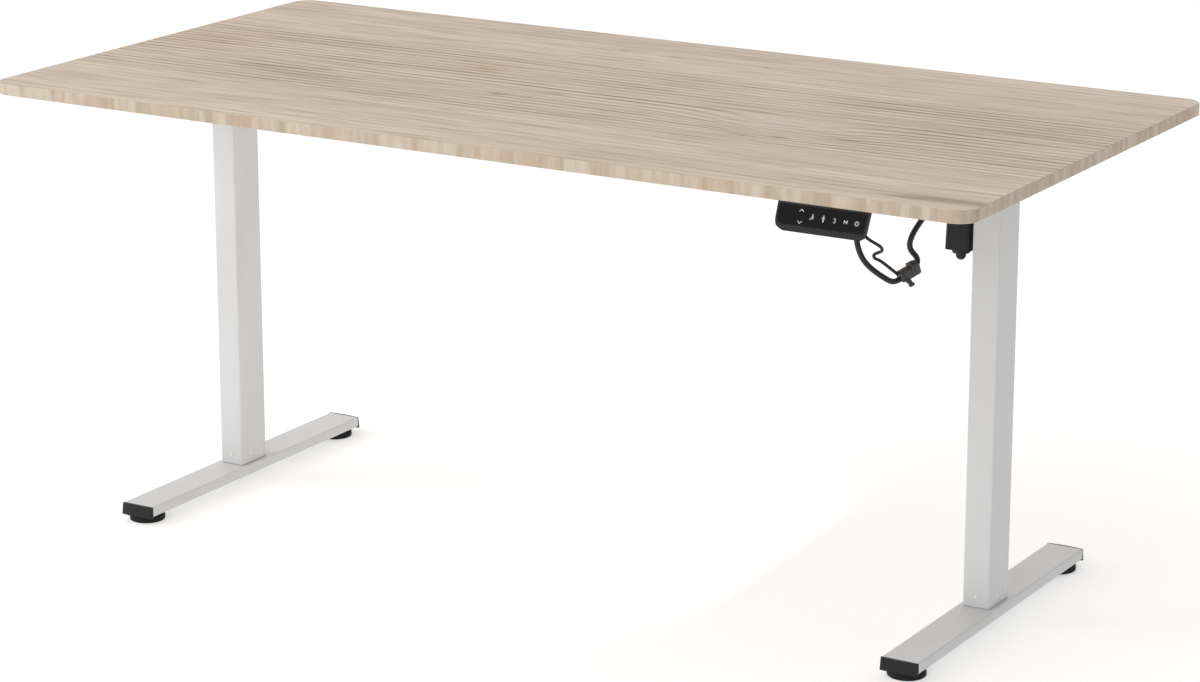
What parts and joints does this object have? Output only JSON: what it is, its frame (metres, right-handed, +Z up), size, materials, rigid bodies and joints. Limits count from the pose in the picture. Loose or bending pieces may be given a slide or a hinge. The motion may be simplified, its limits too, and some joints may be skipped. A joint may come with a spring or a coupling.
{
  "type": "height adjustable standing desk",
  "caption": "Height adjustable desk: pale oak top on two white telescopic column legs, one motor, cross shaft, levelling feet and a touch handset.",
  "frame": {"origin": "on the floor under the middle of the tabletop, desk at its lowest height", "axes": "+X to the user's right along the tabletop, +Y away from the user, +Z up"},
  "size_m": [1.6, 0.8135, 0.7015],
  "materials": {
    "oak_laminate": "melamine-faced particle board in pale oak, satin",
    "white_powder_coat": "white powder coat on steel, fine satin texture",
    "zinc_steel": "bright zinc-plated steel",
    "cast_aluminium": "die-cast aluminium, as cast",
    "gear_steel": "hobbed steel, oiled",
    "wheel_bronze": "bronze",
    "glide_acetal": "natural acetal",
    "black_abs": "black moulded ABS, fine spark-eroded grain",
    "motor_steel": "black painted steel can",
    "touch_film": "gloss black touch film",
    "smoked_window": "smoked acrylic",
    "circuit_board": "solder mask",
    "pad_rubber": "black rubber-faced moulding",
    "cable_pvc": "black PVC jacket"
  },
  "bodies": {
    "base": {"left_foot": "white_powder_coat", "right_foot": "white_powder_coat", "foot_end_caps": "black_abs", "leveller_inserts": "zinc_steel", "left_inner_column": "white_powder_coat", "right_inner_column": "white_powder_coat", "column_base_plates": "zinc_steel", "column_bolts": "zinc_steel", "nut_carriers": "glide_acetal", "spindle_nuts": "glide_acetal", "upper_glides": "glide_acetal"},
    "left_spindle_body": {"left_spindle": "zinc_steel", "left_spindle_gear": "gear_steel"},
    "right_spindle_body": {"right_spindle": "zinc_steel", "right_spindle_gear": "gear_steel"},
    "cross_shaft_body": {"hex_shaft": "zinc_steel", "left_shaft_gear": "gear_steel", "right_shaft_gear": "gear_steel", "worm_wheel": "wheel_bronze"},
    "worm_body": {"worm_shaft": "zinc_steel"},
    "left_front_leveller_body": {"left_front_leveller": "pad_rubber"},
    "left_back_leveller_body": {"left_back_leveller": "pad_rubber"},
    "right_front_leveller_body": {"right_front_leveller": "pad_rubber"},
    "right_back_leveller_body": {"right_back_leveller": "pad_rubber"},
    "lift": {"cable_clips": "black_abs", "cable_plug": "black_abs", "cable_ports": "black_abs", "cable_socket": "black_abs", "column_plates": "cast_aluminium", "control_board": "circuit_board", "control_box": "black_abs", "control_box_lid": "black_abs", "control_cable": "cable_pvc", "display_window": "smoked_window", "front_rail": "white_powder_coat", "glide_screws": "glide_acetal", "handset_back": "black_abs", "handset_board": "circuit_board", "handset_cable": "cable_pvc", "handset_housing": "black_abs", "handset_lead": "cable_pvc", "left_gear_housing": "cast_aluminium", "left_outer_column": "white_powder_coat", "left_side_bracket": "white_powder_coat", "lower_glides": "glide_acetal", "mains_inlet": "black_abs", "motor_can": "motor_steel", "motor_cover": "black_abs", "motor_end_frame": "motor_steel", "motor_lead": "cable_pvc", "rail_bolts": "zinc_steel", "rear_rail": "white_powder_coat", "right_gear_housing": "cast_aluminium", "right_outer_column": "white_powder_coat", "right_side_bracket": "white_powder_coat", "spindle_bearings": "zinc_steel", "tabletop": "oak_laminate", "top_screws": "zinc_steel", "touch_panel": "touch_film"}
  },
  "joints": [
    {"name": "desk_lift", "type": "slide", "parent": "base", "child": "lift", "axis": [0, 0, 1], "range_m": [0, 0.48]},
    {"name": "left_spindle_turn", "type": "hinge", "parent": "lift", "child": "left_spindle_body", "pos_m": [-0.654, 0.0048, 0.4], "axis": [0, 0, 1], "continuous": true},
    {"name": "right_spindle_turn", "type": "hinge", "parent": "lift", "child": "right_spindle_body", "pos_m": [0.654, 0.0048, 0.4], "axis": [0, 0, 1], "continuous": true},
    {"name": "cross_shaft_turn", "type": "hinge", "parent": "lift", "child": "cross_shaft_body", "pos_m": [0, 0.0048, 0.661], "axis": [1, 0, 0], "continuous": true},
    {"name": "worm_turn", "type": "hinge", "parent": "lift", "child": "worm_body", "pos_m": [0.611, -0.0152, 0.661], "axis": [0, 0, 1], "continuous": true},
    {"name": "left_front_leveller_screw", "type": "slide", "parent": "base", "child": "left_front_leveller_body", "axis": [0, 0, -1], "range_m": [0, 0.008]},
    {"name": "left_back_leveller_screw", "type": "slide", "parent": "base", "child": "left_back_leveller_body", "axis": [0, 0, -1], "range_m": [0, 0.008]},
    {"name": "right_front_leveller_screw", "type": "slide", "parent": "base", "child": "right_front_leveller_body", "axis": [0, 0, -1], "range_m": [0, 0.008]},
    {"name": "right_back_leveller_screw", "type": "slide", "parent": "base", "child": "right_back_leveller_body", "axis": [0, 0, -1], "range_m": [0, 0.008]}
  ],
  "couplings": [
    {"joint": "left_spindle_turn", "follows": "desk_lift", "rad_per_m": 785.4},
    {"joint": "right_spindle_turn", "follows": "desk_lift", "rad_per_m": 785.4},
    {"joint": "cross_shaft_turn", "follows": "desk_lift", "rad_per_m": -785.4},
    {"joint": "worm_turn", "follows": "desk_lift", "rad_per_m": -15708}
  ]
}
